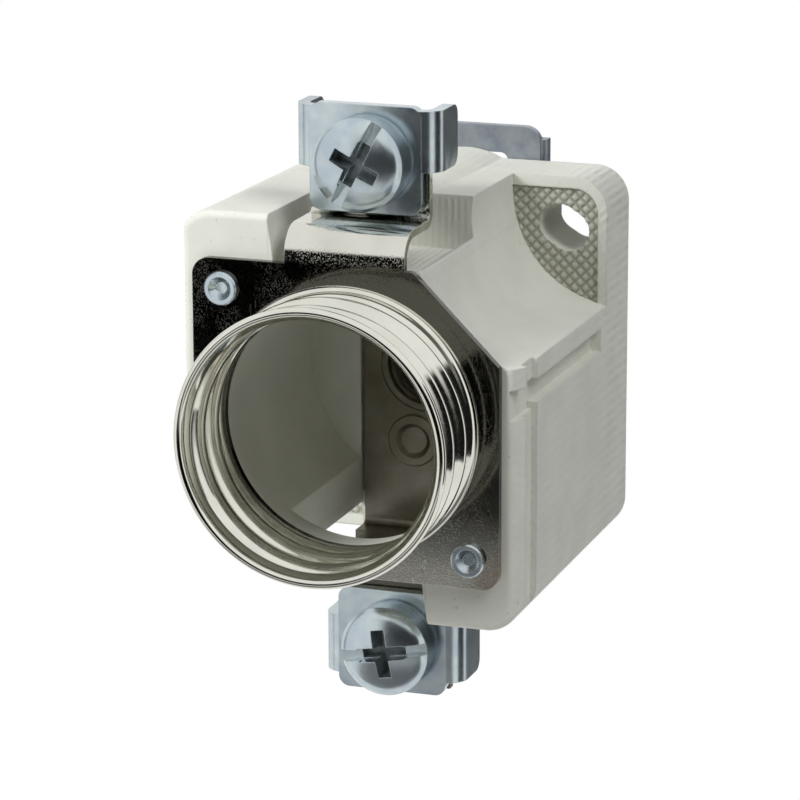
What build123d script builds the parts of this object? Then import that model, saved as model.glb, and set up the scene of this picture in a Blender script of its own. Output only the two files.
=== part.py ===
from build123d import *
import os

# Screw-in fuse base that snaps on a 35 mm top-hat rail. A steatite block carries a nickel-plated screw
# shell in front, a foot contact at the bottom of its cavity and a sliding rail latch behind.
# Millimetres. +X right, +Z up, the fuse goes in along +Y. The origin is the fuse axis where it meets
# the plane that the rail's front face bears on.
# Depths are counted backwards from the front of the shell's square plate.

# Ceramic block
body_width = 36.0
body_height = 41.0
body_depth = 38.5
body_draft = 0.6
corner_radius = 3.6
lead_step = 0.8
lead_depth = 1.8
front_edge_radius = 0.7
cavity_radius = 13.0
cavity_depth = 25.0
pocket_mouth_half_width = 8.4
pocket_floor_half_width = 7.6
pocket_floor_height = 14.6
top_pocket_depth = 17.0
scoop_radius = 11.7
scoop_past_side = 1.3
scoop_below_top = 2.3
lug_front_depth = 30.5
knurl_recess = 0.5
knurl_margin = 1.0
knurl_end_margin = 1.7
slot_from_side = 4.8
slot_from_top = 6.0
slot_width = 4.4
slot_length = 5.6
slot_tilt = -31.0
hump_width = 7.8
hump_rise = 1.0
side_groove_top = 4.5
side_groove_width = 2.4
side_groove_cut = 1.1
side_groove_end = 28.5
side_notch_width = 3.1
rim_groove_start = 3.1
rim_groove_width = 3.4
rim_groove_cut = 0.6

# Screw shell, one drawn piece with its square plate and terminal strip
sheet = 0.8
plate_from_side = 1.85
plate_from_end = 4.6
plate_corner_radius = 1.8
plate_small_radius = 0.5
plate_chamfer = 9.0
sleeve_wall = 0.5
thread_pitch = 3.63
thread_depth = 1.0
thread_crest_radius = 13.8
sleeve_length = 10.7
bead_radius = 0.5
bead_reach = 14.15
root_wave_share = 0.4
tab_width = 12.6
tab_ledge_rise = 3.7
top_strip_depth = 7.8
top_strip_past_screw = 5.1
tab_bend = 2.6
strip_bend = 1.0

# Foot contact strip with its rivet and the threaded bush for the gauge screw
foot_sheet = 1.0
foot_strip_width = 14.0
foot_tail_width = 11.8
foot_tail_start = 3.0
foot_strip_top = 7.5
foot_ledge_height = 18.4
bottom_strip_depth = 15.2
bottom_strip_past_screw = 4.7
foot_bend = 1.2
channel_half_width = 7.4
channel_front = 4.0
bush_thread_radius = 4.0
bush_wall = 1.0
bush_proud = 0.6
bush_length = 8.0
foot_rivet_x = -1.4
foot_rivet_z = -8.3
foot_rivet_head = 2.8
foot_rivet_shank = 1.8
foot_rivet_recess = 1.9
foot_rivet_rise = 0.5
ceramic_web = 6.0

# Terminals
top_screw_past_ledge = 5.8
bottom_screw_past_ledge = 9.0
screw_radius = 2.45
screw_head_radius = 4.75
screw_head_height = 2.7
head_dome = 0.7
head_round = 0.5
screw_length = 10.6
driver_slot_width = 1.2
driver_slot_depth = 1.3
cross_arm = 5.2
cross_width = 1.5
cross_depth = 2.2
cross_taper = 10.0
top_slot_angle = 63.0
bottom_slot_angle = 10.0
thread_pitch_screw = 0.8
washer_radius = 4.65
washer_sheet = 0.9
clamp_sheet = 1.2
clamp_half_width = 7.7
clamp_leg = 6.0
clamp_bend = 1.5
clamp_wing_height = 6.2
clamp_plate_height = 10.9
clamp_plate_half = 5.9
clamp_corner = 1.2
clamp_gap = 0.3
top_plate_past_screw = 5.65
top_wing_past_screw = 5.3
bottom_plate_past_screw = 5.05
bottom_wing_past_screw = 3.6
nut_side = 9.0
nut_height = 2.6
nut_chamfer = 1.0

# Rivets that hold shell, block and rail foot together
rivet_from_side = 3.15
rivet_from_end = 3.0
rivet_shank = 1.25
rivet_recess = 1.2
rivet_head = 1.75
rivet_head_height = 0.6
rivet_bore = 0.7
rivet_bore_depth = 3.0

# Rail foot and latch
rail_height = 35.0
rail_sheet = 1.0
foot_plate_sheet = 1.0
latch_sheet = 1.0
latch_width = 17.2
latch_top = 23.4
latch_bottom = -9.0
latch_corner = 1.8
latch_flange_top = 22.0
latch_flange_reach = 1.6
latch_bend = 0.9
window_width = 9.0
window_top = 20.5
window_height = 1.7
hook_width = 3.5
hook_lip = 2.2
hook_bend = 0.6
stem_half_width = 4.9
spring_radius = 1.5
spring_wire = 0.6
spring_length = 8.0
spring_turns = 4.0
spring_top = 14.0
tab_half_width = 1.3
foot_wing_margin = 3.6

# Clearances
thread_clearance = 0.05
hole_clearance = 0.3
slide_clearance = 0.1
rail_clearance = 0.3
channel_clearance = 0.1

# Worked out from the sizes above
seat_depth = body_depth + latch_sheet + 2 * slide_clearance + foot_plate_sheet
plate_width = body_width - 2 * plate_from_side
plate_height = body_height - 2 * plate_from_end
half_height = body_height / 2
back_half_height = half_height - body_draft
scoop_centre = (body_width / 2 + scoop_past_side, half_height - scoop_below_top)
slot_centre = (body_width / 2 - slot_from_side, half_height - slot_from_top)
rivet_x = plate_width / 2 - rivet_from_side
rivet_z = plate_height / 2 - rivet_from_end
tab_ledge_height = plate_height / 2 + tab_ledge_rise
screw_height_top = tab_ledge_height + top_screw_past_ledge
screw_height_bottom = foot_ledge_height + bottom_screw_past_ledge
top_strip_end = screw_height_top + top_strip_past_screw
bottom_strip_end = screw_height_bottom + bottom_strip_past_screw
bottom_pocket_depth = cavity_depth + foot_sheet + channel_clearance
bolt_hole_radius = screw_radius + hole_clearance
thread_valley_radius = thread_crest_radius - thread_depth
thread_mid_radius = (thread_crest_radius + thread_valley_radius) / 2
rail_edge = rail_height / 2
hook_inside = rail_edge + rail_clearance
lip_front = rail_sheet + rail_clearance
channel_half = latch_width / 2 + rail_clearance


def y_at(depth):
    """Row position of a depth behind the front of the plate."""
    return depth - seat_depth


def facing_front(depth):
    """Sketch plane at a depth, seen from the front: local x is +X, local y is +Z."""
    return Plane(origin=(0, y_at(depth), 0), x_dir=(1, 0, 0), z_dir=(0, -1, 0))


def side_point(depth, height):
    """Point of a side profile drawn on Plane.YZ."""
    return (y_at(depth), height)


os.makedirs("parts", exist_ok=True)

# Ceramic body: a pressed block, the same after half a turn about the fuse axis
with BuildPart() as ceramic_body:
    with BuildSketch(facing_front(body_depth)):
        RectangleRounded(body_width, 2 * back_half_height, corner_radius)
    with BuildSketch(facing_front(sheet)):
        RectangleRounded(body_width, body_height, corner_radius)
    loft(ruled=True)
    # Slanting lead along both front edges of the sides
    with BuildSketch(Plane.XY):
        for lead_side in (-1, 1):
            with BuildLine():
                Polyline(
                    (lead_side * (body_width / 2 - lead_step), y_at(sheet)),
                    (lead_side * body_width / 2, y_at(sheet + lead_depth)),
                    (lead_side * (body_width / 2 + lead_step), y_at(sheet + lead_depth)),
                    (lead_side * (body_width / 2 + lead_step), y_at(sheet)),
                    close=True,
                )
            make_face()
    extrude(amount=half_height, both=True, mode=Mode.SUBTRACT)
    fillet(ceramic_body.faces().sort_by(Axis.Y)[0].edges(), front_edge_radius)

    # Low hump in the middle of the top and bottom faces, from the back to the terminal pocket
    hump_sagitta_radius = (hump_width**2 / 4 + hump_rise**2) / (2 * hump_rise)
    with BuildSketch(facing_front(body_depth)):
        with Locations((0, back_half_height + hump_rise - hump_sagitta_radius)):
            Circle(hump_sagitta_radius)
        with Locations((0, half_height / 2 + hump_rise)):
            Rectangle(hump_width, half_height, mode=Mode.INTERSECT)
        mirror(about=Plane.XZ)
    extrude(amount=body_depth - top_pocket_depth)

    # Round scoops at two corners leave a lug for the fixing screw, with a recessed knurled seat
    for turn in (0, 180):
        with BuildSketch(facing_front(0)):
            with Locations(Rotation(0, 0, turn)):
                with Locations(scoop_centre):
                    Circle(scoop_radius)
        extrude(amount=-lug_front_depth, mode=Mode.SUBTRACT)
        with BuildSketch(facing_front(0)):
            with Locations(Rotation(0, 0, turn)):
                with Locations(scoop_centre):
                    Circle(scoop_radius)
            RectangleRounded(
                body_width - 2 * knurl_margin,
                body_height - 2 * knurl_end_margin,
                corner_radius - knurl_margin,
                mode=Mode.INTERSECT,
            )
        extrude(amount=-lug_front_depth - knurl_recess, mode=Mode.SUBTRACT)
        with BuildSketch(facing_front(0)):
            with Locations(Rotation(0, 0, turn)):
                with Locations(slot_centre):
                    SlotOverall(slot_length, slot_width, rotation=slot_tilt)
        extrude(amount=-body_depth, mode=Mode.SUBTRACT)

    # Terminal pockets above and below the cavity, a little wider at the mouth than at the floor
    for side, pocket_depth in ((1, top_pocket_depth), (-1, bottom_pocket_depth)):
        with BuildSketch(facing_front(0)):
            with BuildLine():
                Polyline(
                    (pocket_floor_half_width, side * pocket_floor_height),
                    (pocket_mouth_half_width, side * half_height),
                    (pocket_mouth_half_width, side * (half_height + hump_rise)),
                    (-pocket_mouth_half_width, side * (half_height + hump_rise)),
                    (-pocket_mouth_half_width, side * half_height),
                    (-pocket_floor_half_width, side * pocket_floor_height),
                    close=True,
                )
            make_face()
        extrude(amount=-pocket_depth, mode=Mode.SUBTRACT)

    # Fuse cavity, and the channel of the foot contact strip across its floor
    with BuildSketch(facing_front(0)):
        Circle(cavity_radius)
    extrude(amount=-cavity_depth, mode=Mode.SUBTRACT)
    with BuildSketch(facing_front(cavity_depth)):
        with Locations((0, (foot_strip_top + rail_clearance - half_height) / 2)):
            Rectangle(2 * channel_half_width, foot_strip_top + rail_clearance + half_height)
    extrude(amount=-foot_sheet - channel_clearance, mode=Mode.SUBTRACT)
    channel_mouth = half_height - cavity_radius / 2
    with BuildSketch(facing_front(channel_front)):
        with Locations((0, -cavity_radius / 2 - channel_mouth / 2)):
            Rectangle(2 * channel_half_width, channel_mouth)
    extrude(amount=channel_front - bottom_pocket_depth, mode=Mode.SUBTRACT)

    # Holes for the bush, for the strip's rivet with its head room behind, and for the long rivets
    with BuildSketch(facing_front(cavity_depth)):
        Circle(bush_thread_radius + bush_wall + hole_clearance)
    extrude(amount=-bush_length - hole_clearance, mode=Mode.SUBTRACT)
    rivet_web_back = bottom_pocket_depth + ceramic_web
    with BuildSketch(facing_front(cavity_depth)):
        with Locations((foot_rivet_x, foot_rivet_z)):
            Circle(foot_rivet_shank + hole_clearance)
    extrude(amount=cavity_depth - body_depth, mode=Mode.SUBTRACT)
    with BuildSketch(facing_front(rivet_web_back)):
        with Locations((foot_rivet_x, foot_rivet_z)):
            Circle(foot_rivet_head + hole_clearance)
    extrude(amount=rivet_web_back - body_depth, mode=Mode.SUBTRACT)
    with BuildSketch(facing_front(0)):
        with Locations((-rivet_x, rivet_z), (rivet_x, -rivet_z)):
            Circle(rivet_shank + hole_clearance)
    extrude(amount=-body_depth, mode=Mode.SUBTRACT)

    # Groove in the back for the latch spring
    spring_axis_depth = body_depth + slide_clearance + latch_sheet / 2
    with BuildSketch(Plane.XY.offset(spring_top - spring_length)):
        with Locations((0, y_at(spring_axis_depth))):
            Circle(spring_radius + spring_wire / 2 + hole_clearance)
    extrude(amount=spring_length + foot_plate_sheet + hole_clearance, mode=Mode.SUBTRACT)

    # Grooves of the two outer sides, again the same after half a turn: one along the depth that is wider
    # where it crosses the front lip, and one behind the lip from the scoop to the other end
    for turn in (0, 180):
        notch_end = rim_groove_start + rim_groove_width
        with BuildSketch(Plane.YZ.offset(body_width / 2 - side_groove_cut)):
            with Locations((y_at(side_groove_end / 2), side_groove_top - side_groove_width / 2)):
                Rectangle(side_groove_end, side_groove_width)
            with Locations((y_at(notch_end / 2), side_groove_top - side_notch_width / 2)):
                Rectangle(notch_end, side_notch_width)
        groove_cutter = extrude(amount=2 * side_groove_cut, mode=Mode.PRIVATE)
        with BuildSketch(Plane.YZ.offset(body_width / 2 - rim_groove_cut)):
            rim_groove_centre = rim_groove_start + rim_groove_width / 2
            with Locations((y_at(rim_groove_centre), (scoop_centre[1] - half_height) / 2)):
                Rectangle(rim_groove_width, half_height + scoop_centre[1])
        rim_cutter = extrude(amount=2 * rim_groove_cut, mode=Mode.PRIVATE)
        add(groove_cutter.rotate(Axis.Y, turn), mode=Mode.SUBTRACT)
        add(rim_cutter.rotate(Axis.Y, turn), mode=Mode.SUBTRACT)
ceramic_body.part.label = "ceramic_body"
export_step(ceramic_body.part, "parts/ceramic_body.step")

# Screw shell: rolled round thread, square plate and terminal strip, all drawn from one sheet
quarter_pitch = thread_pitch / 4
half_pitch = thread_pitch / 2
half_waves = int((sleeve_length - bead_radius) / half_pitch - root_wave_share)
first_inflection = y_at(0) - root_wave_share * half_pitch
with BuildPart() as screw_shell:
    with BuildSketch(facing_front(sheet)):
        with BuildLine():
            half_w = plate_width / 2
            half_h = plate_height / 2
            FilletPolyline(
                (half_w, half_h - plate_chamfer),
                (half_w - plate_chamfer, half_h),
                (-half_w, half_h),
                (-half_w, plate_chamfer - half_h),
                (plate_chamfer - half_w, -half_h),
                (half_w, -half_h),
                radius=[plate_small_radius, plate_small_radius, plate_corner_radius] * 2,
                close=True,
            )
        make_face()
        Circle(thread_mid_radius - sleeve_wall, mode=Mode.SUBTRACT)
        with Locations((-rivet_x, rivet_z), (rivet_x, -rivet_z)):
            Circle(rivet_shank + slide_clearance, mode=Mode.SUBTRACT)
    extrude(amount=sheet)
    # The sleeve's wall in section: tangent arcs of crests and valleys, then the rolled bead
    with BuildSketch(Plane.XY):
        with BuildLine():
            flare = (y_at(sheet) - first_inflection) / 2
            rim_y = y_at(-sleeve_length)
            for wall in (0, sleeve_wall):
                mid = thread_mid_radius - wall
                Line((mid + flare, y_at(sheet) - sheet / 2), (mid, first_inflection))
                for half_wave in range(half_waves):
                    start = first_inflection - half_wave * half_pitch
                    swing = -thread_depth / 2 if half_wave % 2 == 0 else thread_depth / 2
                    ThreePointArc(
                        (mid, start),
                        (mid + swing, start - quarter_pitch),
                        (mid, start - half_pitch),
                    )
                Line(
                    (mid, first_inflection - half_waves * half_pitch),
                    (bead_reach - bead_radius - wall / 2, rim_y + bead_radius),
                )
            Line(
                (bead_reach - bead_radius, rim_y + bead_radius),
                (bead_reach - bead_radius - sleeve_wall / 2, rim_y + bead_radius),
            )
            Line(
                (thread_mid_radius + flare, y_at(sheet) - sheet / 2),
                (thread_mid_radius - sleeve_wall + flare, y_at(sheet) - sheet / 2),
            )
        make_face()
        with Locations((bead_reach - bead_radius, rim_y + bead_radius)):
            Circle(bead_radius)
    revolve(axis=Axis.Y)
    # Terminal strip: up off the plate, back over a ledge, then up behind the clamp
    with BuildSketch(Plane.YZ):
        with BuildLine():
            FilletPolyline(
                side_point(sheet / 2, half_h - sheet),
                side_point(sheet / 2, tab_ledge_height - sheet / 2),
                side_point(top_strip_depth + sheet / 2, tab_ledge_height - sheet / 2),
                side_point(top_strip_depth + sheet / 2, top_strip_end),
                radius=[tab_bend, strip_bend],
            )
        trace(line_width=sheet)
    extrude(amount=tab_width / 2, both=True)
    with BuildSketch(facing_front(top_strip_depth)):
        with Locations((0, screw_height_top)):
            Circle(bolt_hole_radius)
    extrude(amount=-sheet, mode=Mode.SUBTRACT)
screw_shell.part.label = "screw_shell"
export_step(screw_shell.part, "parts/screw_shell.step")

# Foot contact: a folded strip from the cavity floor down through the channel and forward to its clamp
foot_front = cavity_depth + foot_sheet / 2
with BuildPart() as foot_contact:
    with BuildSketch(Plane.YZ):
        with BuildLine():
            FilletPolyline(
                side_point(foot_front, foot_strip_top),
                side_point(foot_front, -foot_ledge_height),
                side_point(bottom_strip_depth + foot_sheet / 2, -foot_ledge_height),
                side_point(bottom_strip_depth + foot_sheet / 2, -bottom_strip_end),
                radius=foot_bend,
            )
        trace(line_width=foot_sheet)
    extrude(amount=foot_strip_width / 2, both=True)
    # The strip fills the channel but leaves it narrower
    with BuildSketch(facing_front(0)):
        with Locations((0, -(foot_ledge_height + bottom_strip_end) / 2)):
            Rectangle(foot_strip_width, bottom_strip_end)
            Rectangle(foot_tail_width, bottom_strip_end, mode=Mode.SUBTRACT)
    extrude(amount=foot_tail_start - cavity_depth, mode=Mode.SUBTRACT)
    with BuildSketch(facing_front(cavity_depth)):
        Circle(bush_thread_radius + bush_wall)
        with Locations((foot_rivet_x, foot_rivet_z)):
            Circle(foot_rivet_shank + slide_clearance)
    extrude(amount=-foot_sheet, mode=Mode.SUBTRACT)
    with BuildSketch(facing_front(bottom_strip_depth)):
        with Locations((0, -screw_height_bottom)):
            Circle(bolt_hole_radius)
    extrude(amount=-foot_sheet, mode=Mode.SUBTRACT)
foot_contact.part.label = "foot_contact"
export_step(foot_contact.part, "parts/foot_contact.step")

# Threaded bush in the strip, for the gauge screw that sits under the fuse
with BuildPart() as gauge_screw_bush:
    with BuildSketch(facing_front(cavity_depth - bush_proud)):
        Circle(bush_thread_radius + bush_wall)
        Circle(bush_thread_radius, mode=Mode.SUBTRACT)
    extrude(amount=-bush_length)
    chamfer(gauge_screw_bush.faces().sort_by(Axis.Y)[0].edges(), bush_wall / 4)
gauge_screw_bush.part.label = "gauge_screw_bush"
export_step(gauge_screw_bush.part, "parts/gauge_screw_bush.step")


def rivet_section(head_front, tail_back, shank, head, rise, recess):
    """Half section of a semi-tubular rivet on Plane.XY, its axis on Y: dished head, shank, set tail."""
    with BuildSketch(Plane.XY) as section:
        with BuildLine():
            Polyline(
                (0, y_at(head_front + rise)),
                (recess - rise, y_at(head_front + rise)),
                (recess, y_at(head_front)),
                (head - rise / 4, y_at(head_front)),
                (head, y_at(head_front + rise / 4)),
                (head, y_at(head_front + rise)),
                (shank, y_at(head_front + rise)),
                (shank, y_at(tail_back - rise)),
                (head, y_at(tail_back - rise)),
                (head - rise / 2, y_at(tail_back)),
                (rivet_bore, y_at(tail_back)),
                (rivet_bore, y_at(tail_back - rivet_bore_depth)),
                (0, y_at(tail_back - rivet_bore_depth)),
                close=True,
            )
        make_face()
    return section.sketch


# Rivet of the foot contact, set in the counterbore behind the cavity floor
with BuildPart() as foot_contact_rivet:
    foot_rivet_section = rivet_section(
        cavity_depth - foot_rivet_rise,
        rivet_web_back + foot_rivet_rise,
        foot_rivet_shank,
        foot_rivet_head,
        foot_rivet_rise,
        foot_rivet_recess,
    )
    add(foot_rivet_section.moved(Location((foot_rivet_x, 0, foot_rivet_z))))
    revolve(axis=Axis((foot_rivet_x, 0, foot_rivet_z), (0, 1, 0)))
foot_contact_rivet.part.label = "foot_contact_rivet"
export_step(foot_contact_rivet.part, "parts/foot_contact_rivet.step")

# Two long rivets through shell plate, block and rail foot
long_rivet_section = rivet_section(
    -rivet_head_height,
    body_depth + foot_plate_sheet + rivet_head_height,
    rivet_shank,
    rivet_head,
    rivet_head_height,
    rivet_recess,
)
for label, x, z in (
    ("rivet_top_left", -rivet_x, rivet_z),
    ("rivet_bottom_right", rivet_x, -rivet_z),
):
    with BuildPart() as long_rivet:
        add(long_rivet_section.moved(Location((x, 0, z))))
        revolve(axis=Axis((x, 0, z), (0, 1, 0)))
    long_rivet.part.label = label
    export_step(long_rivet.part, f"parts/{label}.step")

# Terminals: clamp, washer, screw and nut, the lower set turned upside down and further back
clamp_reach = clamp_half_width - clamp_sheet / 2
for name, side, strip_depth, strip_sheet, screw_height, plate_past_screw, wing_past_screw, slot_angle in (
    (
        "top",
        1,
        top_strip_depth,
        sheet,
        screw_height_top,
        top_plate_past_screw,
        top_wing_past_screw,
        top_slot_angle,
    ),
    (
        "bottom",
        -1,
        bottom_strip_depth,
        foot_sheet,
        screw_height_bottom,
        bottom_plate_past_screw,
        bottom_wing_past_screw,
        bottom_slot_angle,
    ),
):
    screw_z = side * screw_height
    clamp_front = strip_depth - clamp_gap - clamp_sheet
    wing_middle = screw_z + side * (wing_past_screw - clamp_wing_height / 2)
    plate_middle = screw_z + side * (plate_past_screw - clamp_plate_height / 2)

    # Clamp: a flat saddle with two legs folded back beside the strip
    with BuildPart() as clamp:
        with BuildSketch(Plane.XY.offset(wing_middle)):
            with BuildLine():
                FilletPolyline(
                    (-clamp_reach, y_at(clamp_front + clamp_leg)),
                    (-clamp_reach, y_at(clamp_front + clamp_sheet / 2)),
                    (clamp_reach, y_at(clamp_front + clamp_sheet / 2)),
                    (clamp_reach, y_at(clamp_front + clamp_leg)),
                    radius=clamp_bend,
                )
            trace(line_width=clamp_sheet)
        extrude(amount=clamp_wing_height / 2, both=True)
        leg_ends = clamp.edges().filter_by(Axis.X).group_by(Axis.Y)[-1]
        fillet(leg_ends, clamp_corner)
        with BuildSketch(facing_front(clamp_front)):
            with Locations((0, plate_middle)):
                RectangleRounded(2 * clamp_plate_half, clamp_plate_height, clamp_corner)
        extrude(amount=-clamp_sheet)
        with BuildSketch(facing_front(clamp_front)):
            with Locations((0, screw_z)):
                Circle(bolt_hole_radius)
        extrude(amount=-clamp_sheet, mode=Mode.SUBTRACT)
    clamp.part.label = f"{name}_clamp"
    export_step(clamp.part, f"parts/{name}_clamp.step")

    with BuildPart() as washer:
        with BuildSketch(facing_front(clamp_front)):
            with Locations((0, screw_z)):
                Circle(washer_radius)
                Circle(bolt_hole_radius, mode=Mode.SUBTRACT)
        extrude(amount=washer_sheet)
        chamfer(washer.edges().group_by(Axis.Y)[0].sort_by(SortBy.LENGTH)[-1], washer_sheet / 4)
    washer.part.label = f"{name}_washer"
    export_step(washer.part, f"parts/{name}_washer.step")

    # Pan-head screw with a combined slot and cross recess
    head_seat = clamp_front - washer_sheet
    head_front = head_seat - screw_head_height
    screw_tip = head_seat + screw_length
    with BuildPart() as screw:
        with BuildSketch(Plane.XY):
            with BuildLine():
                dome_edge = (screw_head_radius - head_round, y_at(head_front + head_dome))
                TangentArc((0, y_at(head_front)), dome_edge, tangent=(1, 0))
                Polyline(
                    dome_edge,
                    (screw_head_radius, y_at(head_front + head_dome + head_round)),
                    (screw_head_radius, y_at(head_seat)),
                    (screw_radius, y_at(head_seat)),
                    (screw_radius, y_at(screw_tip - thread_pitch_screw)),
                    (screw_radius - thread_pitch_screw, y_at(screw_tip)),
                    (0, y_at(screw_tip)),
                    (0, y_at(head_front)),
                )
            make_face()
        revolve(axis=Axis.Y)
        with BuildSketch(facing_front(head_front)):
            Rectangle(2 * screw_head_radius, driver_slot_width, rotation=slot_angle)
        extrude(amount=-driver_slot_depth, mode=Mode.SUBTRACT)
        with BuildSketch(facing_front(head_front)):
            Rectangle(cross_arm, cross_width, rotation=slot_angle)
            Rectangle(cross_width, cross_arm, rotation=slot_angle)
        extrude(amount=-cross_depth, taper=cross_taper, mode=Mode.SUBTRACT)
    placed_screw = screw.part.moved(Location((0, 0, screw_z)))
    placed_screw.label = f"{name}_screw"
    export_step(placed_screw, f"parts/{name}_screw.step")

    with BuildPart() as nut:
        with BuildSketch(facing_front(strip_depth + strip_sheet)):
            with Locations((0, screw_z)):
                Rectangle(nut_side, nut_side)
                Circle(screw_radius + thread_clearance, mode=Mode.SUBTRACT)
        extrude(amount=-nut_height)
        chamfer(nut.edges().filter_by(Axis.Y).filter_by(GeomType.LINE), nut_chamfer)
    nut.part.label = f"{name}_nut"
    export_step(nut.part, f"parts/{name}_nut.step")

# Rail foot: a hat-shaped spring-steel plate that guides the latch and hooks under the rail's lower edge
foot_band_top = rail_edge - rail_clearance
foot_band_front = -foot_plate_sheet
with BuildPart() as rail_foot:
    with BuildSketch(Plane.YZ):
        with BuildLine():
            FilletPolyline(
                (foot_band_front / 2, foot_band_top),
                (foot_band_front / 2, -hook_inside - foot_plate_sheet / 2),
                (lip_front + foot_plate_sheet / 2, -hook_inside - foot_plate_sheet / 2),
                (lip_front + foot_plate_sheet / 2, hook_lip - hook_inside),
                radius=hook_bend,
            )
        trace(line_width=foot_plate_sheet)
    extrude(amount=channel_half + foot_plate_sheet, both=True)
    wing_front = y_at(body_depth)
    with BuildSketch(Plane.XY.offset(-foot_band_top)):
        for cheek_side in (-1, 1):
            with Locations((cheek_side * (channel_half + foot_plate_sheet / 2), wing_front / 2)):
                Rectangle(foot_plate_sheet, -wing_front)
    extrude(amount=2 * foot_band_top)
    for wing_side in (-1, 1):
        wing_width = rivet_x + foot_wing_margin - channel_half
        with BuildSketch(facing_front(body_depth)):
            with Locations((wing_side * (channel_half + wing_width / 2), -wing_side * rivet_z)):
                Rectangle(wing_width, 2 * foot_wing_margin)
            with Locations((wing_side * rivet_x, -wing_side * rivet_z)):
                Circle(rivet_shank + slide_clearance, mode=Mode.SUBTRACT)
        extrude(amount=-foot_plate_sheet)
    # Window for the spring, with the tab that the spring pushes against
    window_bottom = spring_top - spring_length - rail_clearance
    with BuildSketch(facing_front(seat_depth)):
        with Locations((0, (spring_top + window_bottom) / 2)):
            Rectangle(2 * (spring_radius + spring_wire), spring_top - window_bottom)
    extrude(amount=foot_plate_sheet, mode=Mode.SUBTRACT)
    tab_reach = spring_axis_depth - spring_radius
    with BuildSketch(facing_front(tab_reach)):
        with Locations((0, spring_top + foot_plate_sheet / 2)):
            Rectangle(2 * tab_half_width, foot_plate_sheet)
    extrude(amount=tab_reach - seat_depth + foot_plate_sheet)
rail_foot.part.label = "rail_foot"
export_step(rail_foot.part, "parts/rail_foot.step")

# Latch: a folded sheet that slides up, with a screwdriver window and two hooks over the rail
latch_front = body_depth + slide_clearance
latch_middle = y_at(latch_front + latch_sheet / 2)
flange_middle = (latch_width - latch_sheet) / 2
hook_z = hook_inside + latch_sheet / 2
with BuildPart() as rail_latch:
    with BuildSketch(facing_front(latch_front)):
        with Locations((0, (latch_top + hook_inside) / 2)):
            Rectangle(2 * flange_middle, latch_top - hook_inside)
        with Locations((0, (hook_inside + latch_bottom) / 2)):
            Rectangle(2 * stem_half_width, hook_inside - latch_bottom)
        tongue_bottom = hook_inside - hook_lip - lip_front + y_at(latch_front)
        with Locations((0, (tongue_bottom + latch_bottom) / 2)):
            Rectangle(latch_width, tongue_bottom - latch_bottom)
        # Slot for the spring, closed at the bottom by the edge that the spring pushes on
        slot_top = spring_top + foot_plate_sheet + slide_clearance
        slot_bottom = spring_top - spring_length
        with Locations((0, (slot_top + slot_bottom) / 2)):
            Rectangle(
                2 * (spring_radius + spring_wire), slot_top - slot_bottom, mode=Mode.SUBTRACT
            )
    extrude(amount=-latch_sheet)
    top_corners = rail_latch.edges().filter_by(Axis.Y).group_by(Axis.Z)[-1]
    fillet(top_corners, latch_corner)
    # Flanges folded back at both sides of the upper part
    with BuildSketch(Plane.XY.offset(hook_inside)):
        with BuildLine():
            FilletPolyline(
                (-flange_middle, latch_middle + latch_flange_reach),
                (-flange_middle, latch_middle),
                (flange_middle, latch_middle),
                (flange_middle, latch_middle + latch_flange_reach),
                radius=latch_bend,
            )
        trace(line_width=latch_sheet)
    extrude(amount=latch_flange_top - hook_inside)
    with BuildSketch(facing_front(latch_front)):
        with Locations((0, window_top - window_height / 2)):
            SlotOverall(window_width, window_height)
    extrude(amount=-latch_sheet, mode=Mode.SUBTRACT)
    with BuildSketch(Plane.YZ):
        with BuildLine():
            FilletPolyline(
                (y_at(latch_front), hook_z),
                (lip_front + latch_sheet / 2, hook_z),
                (lip_front + latch_sheet / 2, hook_z - hook_lip),
                radius=hook_bend,
            )
        trace(line_width=latch_sheet)
    hook_offset = latch_width / 2 - hook_width / 2
    hook_pair = extrude(amount=hook_width / 2, both=True, mode=Mode.PRIVATE)
    add([hook_pair.moved(Location((side * hook_offset, 0, 0))) for side in (-1, 1)])
rail_latch.part.label = "rail_latch"
export_step(rail_latch.part, "parts/rail_latch.step")

# Compression spring between the latch and the foot's tab
coil_pitch = (spring_length - spring_wire) / spring_turns
with BuildPart() as latch_spring:
    spring_start = spring_top - spring_length + spring_wire / 2
    with BuildLine():
        coil = Helix(
            pitch=coil_pitch,
            height=spring_length - spring_wire,
            radius=spring_radius,
            center=(0, y_at(spring_axis_depth), spring_start),
        )
    with BuildSketch(Plane(origin=coil @ 0, z_dir=coil % 0)):
        Circle(spring_wire / 2)
    sweep(path=coil, is_frenet=True)
latch_spring.part.label = "latch_spring"
export_step(latch_spring.part, "parts/latch_spring.step")
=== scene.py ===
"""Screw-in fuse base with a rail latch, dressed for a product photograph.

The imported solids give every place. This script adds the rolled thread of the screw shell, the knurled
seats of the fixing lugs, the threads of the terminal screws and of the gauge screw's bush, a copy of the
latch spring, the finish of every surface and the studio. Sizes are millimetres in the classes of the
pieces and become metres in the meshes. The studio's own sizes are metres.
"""

import logging
import math
from dataclasses import dataclass
from enum import Enum

import bpy
import numpy as np
from mathutils import Matrix, Vector

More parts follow.
